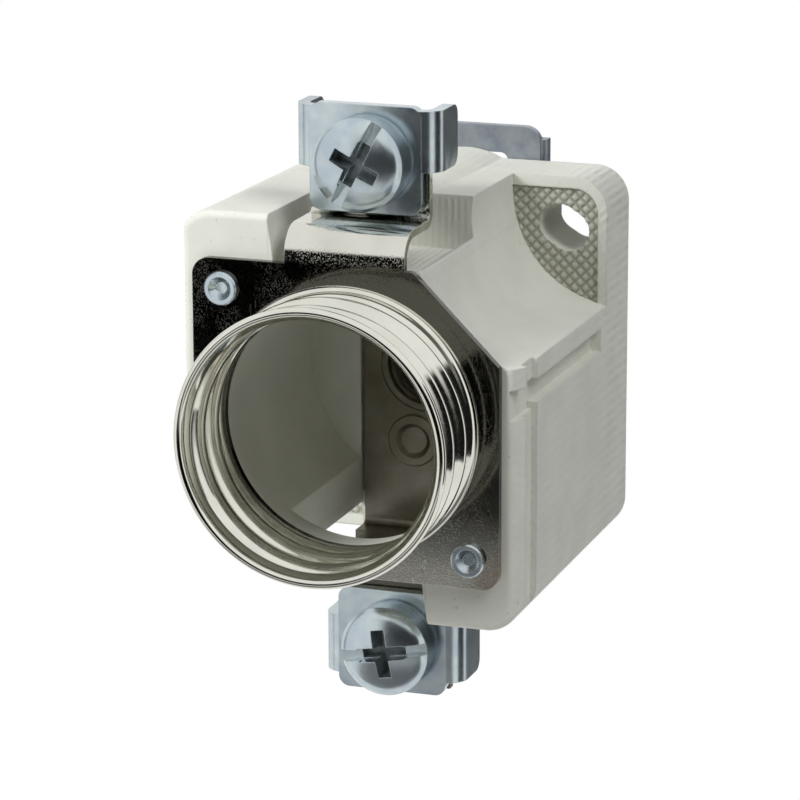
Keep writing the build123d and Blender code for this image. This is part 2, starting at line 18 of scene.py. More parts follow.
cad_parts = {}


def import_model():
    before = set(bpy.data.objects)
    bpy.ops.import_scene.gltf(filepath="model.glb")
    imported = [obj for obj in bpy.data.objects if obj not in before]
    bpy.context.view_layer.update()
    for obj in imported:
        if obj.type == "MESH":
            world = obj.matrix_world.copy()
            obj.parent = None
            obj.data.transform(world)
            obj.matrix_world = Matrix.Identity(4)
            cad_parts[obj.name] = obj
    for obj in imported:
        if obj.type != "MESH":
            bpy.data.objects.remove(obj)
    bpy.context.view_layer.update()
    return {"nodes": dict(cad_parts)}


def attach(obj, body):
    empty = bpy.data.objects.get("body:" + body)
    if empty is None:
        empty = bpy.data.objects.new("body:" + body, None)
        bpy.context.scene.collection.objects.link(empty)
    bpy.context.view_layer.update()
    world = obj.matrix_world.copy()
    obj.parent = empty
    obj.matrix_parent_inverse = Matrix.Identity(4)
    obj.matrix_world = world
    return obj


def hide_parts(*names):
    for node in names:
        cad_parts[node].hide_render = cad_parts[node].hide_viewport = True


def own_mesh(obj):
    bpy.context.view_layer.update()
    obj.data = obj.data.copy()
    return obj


log = logging.getLogger("fuse_base")

MM = 0.001
KNURL_ATTRIBUTE = "groove"
CARD_PLACE = "spread"
WHITE = (1.0, 1.0, 1.0, 1.0)
SQUARE = ((-1, -1), (1, -1), (1, 1), (-1, 1))

# Degrees by which an edge turns before it is left sharp
SHARP_ANGLE = 35.0
# Rays for each point of a rounded edge
EDGE_SAMPLES = 4
# Places of the colour sockets on a node that mixes colours
MIX_SHARE, MIX_FIRST, MIX_SECOND, MIX_RESULT = 0, 6, 7, 2
# Noise levels from the first to the second, spread from the third to the fourth
SOFT_CLOUD = (0.35, 0.65, 0.0, 1.0)
# Noise levels between which a fine grain goes from its least to its most
GRAIN_FROM, GRAIN_TO = 0.3, 0.7
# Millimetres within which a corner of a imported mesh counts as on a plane, and as on a cylinder
ON_PLANE = 0.01
ON_CYLINDER = 0.02
# Points around a screw thread, and points along each of its turns
THREAD_AROUND = 64
THREAD_ALONG = 12

Tree = bpy.types.NodeTree
Node = bpy.types.Node
Socket = bpy.types.NodeSocket
Material = bpy.types.Material
Object = bpy.types.Object
NodeInputs = dict[str | int, object] | tuple[object, ...]
Colour = tuple[float, float, float, float]
Levels = tuple[float, float, float, float]


class Body(Enum):
    """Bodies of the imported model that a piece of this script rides."""

    BASE = "base"
    TOP_BOLT = "top_bolt"
    BOTTOM_BOLT = "bottom_bolt"


class Slot(Enum):
    """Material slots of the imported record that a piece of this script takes."""

    STEATITE = "steatite"
    NICKEL = "nickel_plated_brass"
    BLUE_ZINC = "blue_zinc_steel"
    SPRING = "spring_wire"


def linear(colour: str) -> Colour:
    """Turns an sRGB hex colour into linear values.

    Args:
        colour: six hex digits with a leading hash.

    Returns:
        Red, green, blue and an alpha of one.
    """
    parts = np.array([int(colour[i : i + 2], 16) for i in (1, 3, 5)]) / 255.0
    low = parts / 12.92
    high = ((parts + 0.055) / 1.055) ** 2.4
    red, green, blue = np.where(parts <= 0.04045, low, high)
    return float(red), float(green), float(blue), 1.0


def add_node(tree: Tree, kind: str, inputs: NodeInputs = (), **settings: object) -> Node:
    """Adds one node with its settings, its values and its links.

    Args:
        tree: node tree that gets the node.
        kind: the node's type name.
        inputs: values in the order of the node's sockets, or against their names or numbers. A value may
            be an output socket to link from, or a node whose first output is meant.
        settings: properties of the node itself.

    Returns:
        The new node.
    """
    node = tree.nodes.new(kind)
    for key, value in settings.items():
        setattr(node, key, value)
    given = inputs if isinstance(inputs, dict) else dict(enumerate(inputs))
    for key, value in given.items():
        source = value.outputs[0] if isinstance(value, Node) else value
        if isinstance(source, Socket):
            tree.links.new(source, node.inputs[key])
        else:
            node.inputs[key].default_value = source
    return node


def empty_tree(owner: Material | bpy.types.World) -> Tree:
    """Turns on the nodes of a material or a world and clears them.

    Args:
        owner: the material or the world.

    Returns:
        Its empty node tree.
    """
    owner.use_nodes = True
    owner.node_tree.nodes.clear()
    return owner.node_tree


def add_object(name: str, data: bpy.types.ID) -> Object:
    """Adds an object to the scene.

    Args:
        name: object name.
        data: its mesh, light or camera.

    Returns:
        The object, at the origin.
    """
    made = bpy.data.objects.new(name, data)
    bpy.context.scene.collection.objects.link(made)
    return made


def smooth_step(value: np.ndarray) -> np.ndarray:
    """Goes from 0 to 1 along 3 t squared minus 2 t cubed, and stays there."""
    held = np.clip(value, 0.0, 1.0)
    return held * held * (3.0 - 2.0 * held)


def grid_quads(rows: int, cols: int, rows_closed: bool, cols_closed: bool) -> np.ndarray:
    """Corner numbers of the cells of a grid whose points are stored row by row.

    Args:
        rows: number of rows of points.
        cols: number of points in a row.
        rows_closed: whether the last row joins the first.
        cols_closed: whether the last column joins the first.

    Returns:
        One line of four point numbers for each cell.
    """
    row = np.arange(rows if rows_closed else rows - 1)[:, None]
    col = np.arange(cols if cols_closed else cols - 1)[None, :]
    next_row, next_col = (row + 1) % rows, (col + 1) % cols
    corners = (row * cols + col, row * cols + next_col, next_row * cols + next_col, next_row * cols + col)
    return np.stack([np.broadcast_to(c, (row.size, col.size)) for c in corners], -1).reshape(-1, 4)


def faces_outward(points: np.ndarray, faces: np.ndarray) -> np.ndarray:
    """Turns the faces of a closed surface so that they point outwards.

    The volume under a face is a sixth of the triple product of its corners, summed over its triangles.

    Args:
        points: corner positions.
        faces: corner numbers, three or four in a line.

    Returns:
        The same faces, turned round where the enclosed volume came out negative.
    """
    a, b, c = (points[faces[:, i]] for i in (0, 1, 2))
    volume = np.einsum("ij,ij->i", a, np.cross(b, c)).sum()
    if faces.shape[1] == 4:
        d = points[faces[:, 3]]
        volume += np.einsum("ij,ij->i", a, np.cross(c, d)).sum()
    return faces if volume > 0 else faces[:, ::-1]


@dataclass
class Surface:
    """Points in millimetres with triangles and quads, each with the number of its finish."""

    points: np.ndarray
    faces: list[np.ndarray]
    finish: list[int]

    def joined(self, other: "Surface") -> "Surface":
        """Adds another surface behind this one, without merging their points."""
        moved = [faces + len(self.points) for faces in other.faces]
        return Surface(np.vstack([self.points, other.points]), self.faces + moved, self.finish + other.finish)

    def make(self, name: str, finishes: list[Material], sharp_above: float = SHARP_ANGLE) -> Object:
        """Builds the object, smooth but for edges that turn by more than an angle.

        Args:
            name: object name.
            finishes: materials in the order of the finish numbers.
            sharp_above: angle in degrees.

        Returns:
            The object, linked to the scene, at the origin.
        """
        mesh = bpy.data.meshes.new(name)
        corners = np.concatenate([faces.ravel() for faces in self.faces])
        totals = np.concatenate([np.full(len(faces), faces.shape[1]) for faces in self.faces])
        mesh.vertices.add(len(self.points))
        mesh.vertices.foreach_set("co", (self.points * MM).astype(np.float32).ravel())
        mesh.loops.add(len(corners))
        mesh.loops.foreach_set("vertex_index", corners.astype(np.int32))
        mesh.polygons.add(len(totals))
        mesh.polygons.foreach_set("loop_start", (np.cumsum(totals) - totals).astype(np.int32))
        numbers = np.concatenate([np.full(len(f), n) for f, n in zip(self.faces, self.finish)])
        mesh.polygons.foreach_set("material_index", numbers.astype(np.int32))
        mesh.update(calc_edges=True)
        mesh.validate()
        mesh.polygons.foreach_set("use_smooth", np.ones(len(mesh.polygons), bool))
        mesh.set_sharp_from_angle(angle=math.radians(sharp_above))
        for finish in finishes:
            mesh.materials.append(finish)
        return add_object(name, mesh)


def merged_copy(node: Object) -> Surface:
    """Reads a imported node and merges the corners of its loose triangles.

    Args:
        node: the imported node's object.

    Returns:
        Its points in millimetres and its triangles.
    """
    mesh = node.data
    points = np.empty(len(mesh.vertices) * 3, np.float32)
    mesh.vertices.foreach_get("co", points)
    mesh.calc_loop_triangles()
    corners = np.empty(len(mesh.loop_triangles) * 3, np.int32)
    mesh.loop_triangles.foreach_get("vertices", corners)
    keys = np.round(points.reshape(-1, 3).astype(float) / MM, 4)
    single, number = np.unique(keys, axis=0, return_inverse=True)
    triangles = number.reshape(-1)[corners].reshape(-1, 3)
    a, b, c = triangles.T
    return Surface(single, [triangles[(a != b) & (b != c) & (c != a)]], [0])


def product(tree: Tree, *values: Node) -> Node:
    """Chain of multiplications.

    Args:
        tree: the material's node tree.
        values: at least two nodes whose first outputs are multiplied.

    Returns:
        The last multiplication.
    """
    total = values[0]
    for value in values[1:]:
        total = add_node(tree, "ShaderNodeMath", (total, value), operation="MULTIPLY")
    return total


def clouded(tree: Tree, place: Node, size: float, levels: Levels, detail: float = 3.0) -> Node:
    """Cloudy pattern spread over a range of levels.

    Args:
        tree: the material's node tree.
        place: coordinate in millimetres.
        size: rough width of a cloud in millimetres.
        levels: lowest and highest noise, and the levels that stand for them.
        detail: how many finer clouds lie over the coarse ones.

    Returns:
        The level at each place.
    """
    noise = add_node(tree, "ShaderNodeTexNoise", {"Vector": place, "Scale": 1.0 / size, "Detail": detail})
    return add_node(tree, "ShaderNodeMapRange", (noise, *levels))


def coated(tree: Tree, base: Colour | Socket, *coats: tuple[Node, str]) -> Socket:
    """Colours laid over a base one after the other.

    Args:
        tree: the material's node tree.
        base: colour at the bottom.
        coats: for each coat its share and its sRGB hex colour.

    Returns:
        The colour on top.
    """
    for share, colour in coats:
        mixed = {MIX_SHARE: share, MIX_FIRST: base, MIX_SECOND: linear(colour)}
        base = add_node(tree, "ShaderNodeMix", mixed, data_type="RGBA").outputs[MIX_RESULT]
    return base


def raised(tree: Tree, normal: Node | Socket, *layers: tuple[Node, float]) -> Socket:
    """Reliefs laid over a surface one after the other.

    Args:
        tree: the material's node tree.
        normal: normal of the surface below.
        layers: for each relief its height and the millimetres that it rises for a height of one.

    Returns:
        The normal on top.
    """
    for height, rise in layers:
        inputs = {"Height": height, "Distance": rise * MM, "Strength": 1.0, "Normal": normal}
        normal = add_node(tree, "ShaderNodeBump", inputs)
    return normal.outputs["Normal"]


@dataclass(frozen=True)
class Finish:
    """One finish: a principled surface with a pattern of its own."""

    name: str
    colour: str
    second_colour: str
    roughness: float
    edge_radius: float

    def start(self) -> tuple[Tree, Node, Node, Material]:
        """Makes the material with its shader and a coordinate in millimetres.

        Returns:
            The material's tree, its shader, the coordinate's node and the material itself.
        """
        material = bpy.data.materials.new(self.name)
        material.use_nodes = True
        tree = material.node_tree
        coordinates = add_node(tree, "ShaderNodeTexCoord")
        place = add_node(
            tree,
            "ShaderNodeMapping",
            {"Vector": coordinates.outputs["Object"], "Scale": (1 / MM, 1 / MM, 1 / MM)},
        )
        return tree, tree.nodes["Principled BSDF"], place, material


@dataclass(frozen=True)
class FiredFinish(Finish):
    """Fired ceramic body whose fine grain shows in its roughness and its relief."""

    grain: float = 0.3
    grain_rise: float = 0.014
    smoother: float = 0.05
    rougher: float = 0.06

    def grained(
        self, tree: Tree, shader: Node, place: Node, normal: Node | Socket, *layers: tuple[Node, float]
    ) -> None:
        """Links the grain's roughness and the whole relief, with the grain on top, to the shader.

        Args:
            tree: the material's node tree.
            shader: the material's shader.
            place: coordinate in millimetres.
            normal: normal of the surface below.
            layers: for each relief under the grain its height and its rise.
        """
        grain = add_node(
            tree, "ShaderNodeTexNoise", {"Vector": place, "Scale": 1.0 / self.grain, "Detail": 4.0}
        )
        smooth, rough = self.roughness - self.smoother, self.roughness + self.rougher
        roughness = add_node(tree, "ShaderNodeMapRange", (grain, GRAIN_FROM, GRAIN_TO, smooth, rough))
        tree.links.new(roughness.outputs["Result"], shader.inputs["Roughness"])
        relief = raised(tree, normal, *layers, (grain, self.grain_rise))
        tree.links.new(relief, shader.inputs["Normal"])


@dataclass(frozen=True)
class Steatite(FiredFinish):
    """Pressed and fired steatite, unglazed: a warm pale grey, matt, a little waxy, with fine press ribs."""

    half_width: float = 18.0
    half_height: float = 20.5
    corner: float = 3.6
    skin: float = 0.75
    skin_fade: float = 0.1
    rib_pitch: float = 1.1
    rib_rise: float = 0.05
    rib_patch: float = 2.2
    rib_uneven: Levels = (0.4, 0.62, 0.15, 1.0)
    ribs_faint_at_y: float = -16.0
    ribs_full_at_y: float = -8.0
    front_share: float = 0.3
    ribs_faint_from_side: float = 6.0
    ribs_full_from_side: float = 3.0
    middle_share: float = 0.25
    pocket_half_width: float = 8.5
    pocket_side_fade: float = 0.2
    pocket_floor: float = 14.3
    pocket_floor_fade: float = 0.3
    pocket_top_gap: float = 0.4
    pocket_top_fade: float = 0.5
    pocket_rib_pitch: float = 0.7
    pocket_rib_patch: float = 1.3
    pocket_rib_uneven: Levels = (0.38, 0.65, 0.1, 0.6)
    # Painted shade in the rib valleys: its colour, its strength, and the rib level where it ends
    rib_valley_shade_colour: str = "#B9BAAE"
    rib_valley_shade_share: float = 0.22
    rib_valley_shade_below: float = 0.2
    pit: float = 0.45
    pit_colour: str = "#A8A89B"
    pit_share: float = 0.5
    pit_below: float = 0.2
    pit_clear: float = 0.27
    cloud: float = 5.0
    ior: float = 1.5

    def outer_ribs(self, tree: Tree, place: Node) -> Node:
        """Ribs along the depth on the outer skin, growing towards the back.

        Their waves follow height less width, both from the middle, so they run on round the corners. The
        skin is where the distance from the corner's centre line comes near the corner radius.

        Args:
            tree: the material's node tree.
            place: coordinate in millimetres.

        Returns:
            Relief between minus one and one.
        """
        where = add_node(tree, "ShaderNodeSeparateXYZ", (place,)).outputs
        across = add_node(tree, "ShaderNodeMath", (where["X"],), operation="ABSOLUTE")
        up = add_node(tree, "ShaderNodeMath", (where["Z"],), operation="ABSOLUTE")
        run = add_node(tree, "ShaderNodeMath", (up, across), operation="SUBTRACT")
        turn = add_node(tree, "ShaderNodeMath", (run, 2.0 * math.pi / self.rib_pitch), operation="MULTIPLY")
        wave = add_node(tree, "ShaderNodeMath", (turn,), operation="SINE")
        squares = []
        for far, reach in ((across, self.half_width), (up, self.half_height)):
            over = add_node(tree, "ShaderNodeMath", (far, reach - self.corner), operation="SUBTRACT")
            held = add_node(tree, "ShaderNodeMath", (over, 0.0), operation="MAXIMUM")
            squares.append(add_node(tree, "ShaderNodeMath", (held, held), operation="MULTIPLY"))
        both = add_node(tree, "ShaderNodeMath", tuple(squares), operation="ADD")
        distance = add_node(tree, "ShaderNodeMath", (both,), operation="SQRT")
        edge = self.corner - self.skin
        on_skin = add_node(
            tree, "ShaderNodeMapRange", (distance, edge - self.skin_fade, edge + self.skin_fade, 0.0, 1.0)
        )
        to_back = add_node(
            tree,
            "ShaderNodeMapRange",
            (where["Y"], self.ribs_faint_at_y, self.ribs_full_at_y, self.front_share, 1.0),
        )
        faint = self.half_width - self.ribs_faint_from_side
        full = self.half_width - self.ribs_full_from_side
        to_side = add_node(tree, "ShaderNodeMapRange", (across, faint, full, self.middle_share, 1.0))
        uneven = clouded(tree, place, self.rib_patch, self.rib_uneven)
        return product(tree, wave, on_skin, to_back, to_side, uneven)

    def pocket_ribs(self, tree: Tree, place: Node) -> Node:
        """Upright ribs on the back wall of the terminal pockets, fading out on their floors.

        Their waves follow the distance from the middle.

        Args:
            tree: the material's node tree.
            place: coordinate in millimetres.

        Returns:
            Relief between minus one and one.
        """
        where = add_node(tree, "ShaderNodeSeparateXYZ", (place,)).outputs
        across = add_node(tree, "ShaderNodeMath", (where["X"],), operation="ABSOLUTE")
        up = add_node(tree, "ShaderNodeMath", (where["Z"],), operation="ABSOLUTE")
        turns = 2.0 * math.pi / self.pocket_rib_pitch
        turn = add_node(tree, "ShaderNodeMath", (across, turns), operation="MULTIPLY")
        wave = add_node(tree, "ShaderNodeMath", (turn,), operation="SINE")
        side = self.pocket_half_width
        inside = add_node(
            tree, "ShaderNodeMapRange", (across, side - self.pocket_side_fade, side, 1.0, 0.0)
        )
        floor = self.pocket_floor
        above = add_node(tree, "ShaderNodeMapRange", (up, floor, floor + self.pocket_floor_fade, 0.0, 1.0))
        top = self.half_height - self.pocket_top_gap
        below = add_node(tree, "ShaderNodeMapRange", (up, top - self.pocket_top_fade, top, 1.0, 0.0))
        uneven = clouded(tree, place, self.pocket_rib_patch, self.pocket_rib_uneven)
        return product(tree, wave, inside, above, below, uneven)

    def material(self) -> Material:
        """Clouded colour, fine grain with a few pits, and both kinds of rib in relief with painted shade in
        their valleys.

        Returns:
            The material.
        """
        tree, shader, place, material = self.start()
        ribs = add_node(
            tree,
            "ShaderNodeMath",
            (self.outer_ribs(tree, place), self.pocket_ribs(tree, place)),
            operation="ADD",
        )
        pit_levels = (self.pit_below, self.pit_clear, self.pit_share, 0.0)
        body = coated(
            tree,
            linear(self.colour),
            (clouded(tree, place, self.cloud, SOFT_CLOUD), self.second_colour),
            # Painted shade darkens the rib valleys
            (
                add_node(
                    tree,
                    "ShaderNodeMapRange",
                    (ribs, -1.0, self.rib_valley_shade_below, self.rib_valley_shade_share, 0.0),
                ),
                self.rib_valley_shade_colour,
            ),
            (clouded(tree, place, self.pit, pit_levels, 1.0), self.pit_colour),
        )
        tree.links.new(body, shader.inputs["Base Color"])
        edges = add_node(
            tree, "ShaderNodeBevel", {"Radius": self.edge_radius * MM}, samples=EDGE_SAMPLES
        )
        self.grained(tree, shader, place, edges, (ribs, self.rib_rise))
        shader.inputs["IOR"].default_value = self.ior
        return material


@dataclass(frozen=True)
class KnurledSteatite(FiredFinish):
    """The same steatite on a knurled seat, painted darker, with painted shade deepest in its grooves."""

    grain_rise: float = 0.02
    groove_shade_from: float = 0.3

    def material(self) -> Material:
        """Painted groove shade from the groove attribute, roughness and relief from a fine grain.

        Returns:
            The material.
        """
        tree, shader, place, material = self.start()
        groove = add_node(tree, "ShaderNodeAttribute", attribute_name=KNURL_ATTRIBUTE).outputs["Fac"]
        # Painted shade: the second colour grows with the depth of the groove
        deep = add_node(tree, "ShaderNodeMapRange", (groove, self.groove_shade_from, 1.0, 0.0, 1.0))
        body = coated(tree, linear(self.colour), (deep, self.second_colour))
        tree.links.new(body, shader.inputs["Base Color"])
        self.grained(tree, shader, place, add_node(tree, "ShaderNodeNewGeometry").outputs["Normal"])
        return material


@dataclass(frozen=True)
class Plated(Finish):
    """Metal with a plated skin: mirror or satin, with a grain in its relief and a drift in its tint."""

    grain: float = 0.3
    grain_rise: float = 0.004
    wave: float = 3.0
    wave_rise: float = 0.01
    stretch: tuple[float, float, float] = (1.0, 1.0, 1.0)
    uneven: float = 0.06
    metal: float = 1.0
    bow: float = 0.0
    bow_middle: float = 5.5

    def material(self) -> Material:
        """Tint drifting over some millimetres, a slight bow, roughness and relief from the grain.

        The bow's height falls with the square of the distance to the right or left of its middle.

        Returns:
            The material.
        """
        tree, shader, place, material = self.start()
        drawn = add_node(tree, "ShaderNodeMapping", {"Vector": place, "Scale": self.stretch})
        drift = clouded(tree, place, self.wave, SOFT_CLOUD)
        metal = coated(tree, linear(self.colour), (drift, self.second_colour))
        tree.links.new(self.tint(tree, place, metal), shader.inputs["Base Color"])
        grain = add_node(
            tree, "ShaderNodeTexNoise", {"Vector": drawn, "Scale": 1.0 / self.grain, "Detail": 3.0}
        )
        roughness, relief = self.skin(tree, place, grain)
        tree.links.new(roughness.outputs[0], shader.inputs["Roughness"])
        waves = add_node(
            tree, "ShaderNodeTexNoise", {"Vector": place, "Scale": 1.0 / self.wave, "Detail": 1.0}
        )
        layers = [(waves, self.wave_rise)]
        if self.bow:
            across = add_node(tree, "ShaderNodeSeparateXYZ", (place,)).outputs["X"]
            away = add_node(tree, "ShaderNodeMath", (across, self.bow_middle), operation="SUBTRACT")
            square = add_node(tree, "ShaderNodeMath", (away, away), operation="MULTIPLY")
            fall = add_node(tree, "ShaderNodeMath", (square, -self.bow), operation="MULTIPLY")
            layers.append((fall, 1.0))
        edges = add_node(
            tree, "ShaderNodeBevel", {"Radius": self.edge_radius * MM}, samples=EDGE_SAMPLES
        )
        normal = raised(tree, edges, *layers, (relief, self.grain_rise))
        tree.links.new(normal, shader.inputs["Normal"])
        shader.inputs["Metallic"].default_value = self.metal
        return material

    def tint(self, tree: Tree, place: Node, metal: Socket) -> Socket:
        """Colour of the skin: the drifting tint as it is."""
        return metal

    def skin(self, tree: Tree, place: Node, grain: Node) -> tuple[Node, Node]:
        """Roughness and fine relief: both follow the grain."""
        span = (GRAIN_FROM, GRAIN_TO, self.roughness, self.roughness + self.uneven)
        return add_node(tree, "ShaderNodeMapRange", (grain, *span)), grain


@dataclass(frozen=True)
class RolledPlate(Plated):
    """Plate over rolled sheet: a mirror broken by fine matt specks that crowd together in patches."""

    patch: float = 4.5
    patch_levels: Levels = (0.42, 0.6, 0.2, 1.0)
    speck: float = 0.15
    speck_levels: Levels = (0.55, 0.66, 0.0, 1.0)
    speck_roughness: float = 0.34
    scratch: float = 0.3
    scratch_levels: Levels = (0.17, 0.2, 1.0, 0.0)
    scratch_turn: float = 0.9
    scratch_stretch: float = 0.2
    grain_share: float = 0.25
    # Painted dark reflection on the flat plate: its colour, the height where it ends, and its fainter share
    # towards the bottom
    painted_dark_reflection: str = "#5A5953"
    painted_dark_half: float = 16.0
    painted_dark_fade: float = 0.8
    painted_dark_faint_below: float = -14.5
    painted_dark_full_above: float = -8.0
    painted_dark_low_share: float = 0.25
    stain: str = "#8C7A66"
    stain_from: float = 29.0
    stain_to: float = 32.5
    stain_share: float = 0.6
    stain_ragged: float = 4.0
    stain_patch: float = 1.5

    def tint(self, tree: Tree, place: Node, metal: Socket) -> Socket:
        """Painted dark reflection on the flat plate, fainter towards its bottom, bright nickel where it is bent
        up, a brown stain in one corner.

        The stain's edge runs where the distance to the right less the height, with a noise added, passes
        a limit.

        Args:
            tree: the material's node tree.
            place: coordinate in millimetres.
            metal: the bright tint.

        Returns:
            Colour.
        """
        where = add_node(tree, "ShaderNodeSeparateXYZ", (place,)).outputs
        # Painted dark reflection: full on the flat plate, fainter towards its bottom
        flat = add_node(
            tree,
            "ShaderNodeMapRange",
            (where["Z"], self.painted_dark_half, self.painted_dark_half + self.painted_dark_fade, 1.0, 0.0),
        )
        low = add_node(
            tree,
            "ShaderNodeMapRange",
            (where["Z"], self.painted_dark_faint_below, self.painted_dark_full_above, self.painted_dark_low_share, 1.0),
        )
        along = add_node(tree, "ShaderNodeMath", (where["X"], where["Z"]), operation="SUBTRACT")
        cloud = add_node(
            tree, "ShaderNodeTexNoise", {"Vector": place, "Scale": 1.0 / self.stain_patch, "Detail": 3.0}
        )
        spread = add_node(tree, "ShaderNodeMath", (cloud, self.stain_ragged), operation="MULTIPLY")
        ragged = add_node(tree, "ShaderNodeMath", (along, spread), operation="ADD")
        span = (self.stain_from, self.stain_to, 0.0, self.stain_share)
        corner = add_node(tree, "ShaderNodeMapRange", (ragged, *span))
        return coated(tree, metal, (product(tree, flat, low), self.painted_dark_reflection), (corner, self.stain))

    def skin(self, tree: Tree, place: Node, grain: Node) -> tuple[Node, Node]:
        """Roughness and fine relief of the specks, and a few short scratches in the relief.

        Args:
            tree: the material's node tree.
            place: coordinate in millimetres.
            grain: the finish's fine grain.

        Returns:
            Roughness and height.
        """
        turned = add_node(
            tree,
            "ShaderNodeMapping",
            {
                "Vector": place,
                "Rotation": (0.0, self.scratch_turn, 0.0),
                "Scale": (1.0, 1.0, self.scratch_stretch),
            },
        )
        scratch = clouded(tree, turned, self.scratch, self.scratch_levels, 0.0)
        speck = clouded(tree, place, self.speck, self.speck_levels, 1.0)
        patch = clouded(tree, place, self.patch, self.patch_levels, 2.0)
        matt = product(tree, speck, patch)
        roughness = add_node(
            tree, "ShaderNodeMapRange", (matt, 0.0, 1.0, self.roughness, self.speck_roughness)
        )
        fine = add_node(tree, "ShaderNodeMath", (grain, self.grain_share), operation="MULTIPLY")
        height = add_node(tree, "ShaderNodeMath", (fine, matt), operation="ADD")
        return roughness, add_node(tree, "ShaderNodeMath", (height, scratch), operation="SUBTRACT")


class Finishes:
    """The finishes of the whole base, each made once."""

    def __init__(self) -> None:
        """Makes every material."""
        # Unglazed steatite: pale, warm and matt, its soft gloss seen only on the rounded edges
        self.steatite = Steatite(
            "unglazed_steatite", "#E7E7DC", "#E0E0D5", roughness=0.55, edge_radius=0.3
        ).material()
        # The knurled seats are painted darker, with painted shade deepest in their grooves
        self.knurled_steatite = KnurledSteatite(
            "knurled_steatite", "#C6C6BB", "#A2A391", roughness=0.6, edge_radius=0.0
        ).material()
        # Nickel over rolled brass: a warm white mirror whose sheet grain breaks reflections into specks, with a
        # painted dark reflection on its flat plate
        self.rolled_nickel = RolledPlate(
            "nickel_on_rolled_brass", "#DEDDD4", "#D3D2C8", roughness=0.07, edge_radius=0.12,
            grain=0.3, grain_rise=0.004, wave=5.0, wave_rise=0.01,
        ).material()
        # The drawn and rolled sleeve is smoother, almost a plain mirror
        self.drawn_nickel = Plated(
            "nickel_on_drawn_brass", "#E4E3D9", "#DBDAD0", roughness=0.07, edge_radius=0.05,
            grain=0.5, grain_rise=0.0015, wave=4.0, wave_rise=0.02,
        ).material()
        # Dull nickel on the strip and bush inside the cavity
        self.dull_nickel = Plated(
            "dull_nickel_on_brass", "#9C978B", "#8B8577", roughness=0.32, edge_radius=0.15,
            grain=0.3, grain_rise=0.004, wave=3.0, wave_rise=0.01,
        ).material()
        # Zinc with a blue passivation: a cool satin metal with bluish clouds, its faces slightly bowed
        self.blue_zinc = Plated(
            "blue_passivated_zinc", "#C8D4D6", "#B6C2CB", roughness=0.2, edge_radius=0.14,
            grain=0.5, grain_rise=0.0005, wave=2.6, wave_rise=0.035, uneven=0.04, metal=0.94, bow=0.009,
        ).material()
        # The same zinc in a screw's recess, painted darker as the recess's shade, and rougher and less metallic
        self.shaded_recess_zinc = Plated(
            "zinc_with_painted_recess_shade", "#A3ACAE", "#7F888A", roughness=0.34, edge_radius=0.05,
            grain=0.6, grain_rise=0.01, wave=1.2, wave_rise=0.03, uneven=0.1, metal=0.7,
        ).material()
        # Dull zinc on spring steel, with the sheet's rolling lines standing upright
        self.dull_zinc = Plated(
            "dull_zinc_on_spring_steel", "#A3A9B1", "#8F96A2", roughness=0.38, edge_radius=0.1,
            grain=0.14, grain_rise=0.004, wave=1.4, wave_rise=0.01, stretch=(1.0, 1.0, 0.06), metal=0.8,
        ).material()
        # Bare drawn spring wire, darker, with fine lines
        self.wire = Plated(
            "drawn_spring_wire", "#7C7E82", "#6E7176", roughness=0.35, edge_radius=0.05,
            grain=0.15, grain_rise=0.002, wave=2.0, wave_rise=0.004,
        ).material()

    def dress(self, nodes: dict[str, Object]) -> None:
        """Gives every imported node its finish.

        Args:
            nodes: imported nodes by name.
        """
        choice = {
            "ceramic_body": self.steatite,
            "screw_shell": self.rolled_nickel,
            "foot_contact": self.dull_nickel,
            "foot_contact_rivet": self.dull_nickel,
            "gauge_screw_bush": self.dull_nickel,
            "rail_foot": self.dull_zinc,
            "rail_latch": self.dull_zinc,
            "latch_spring": self.wire,
        }
        for name, node in nodes.items():
            finish = choice.get(name, self.blue_zinc)
            for number in range(max(1, len(node.data.materials))):
                if node.material_slots:
                    node.material_slots[number].material = finish
                else:
                    node.data.materials.append(finish)
            log.info("node %s is %s", name, finish.name)


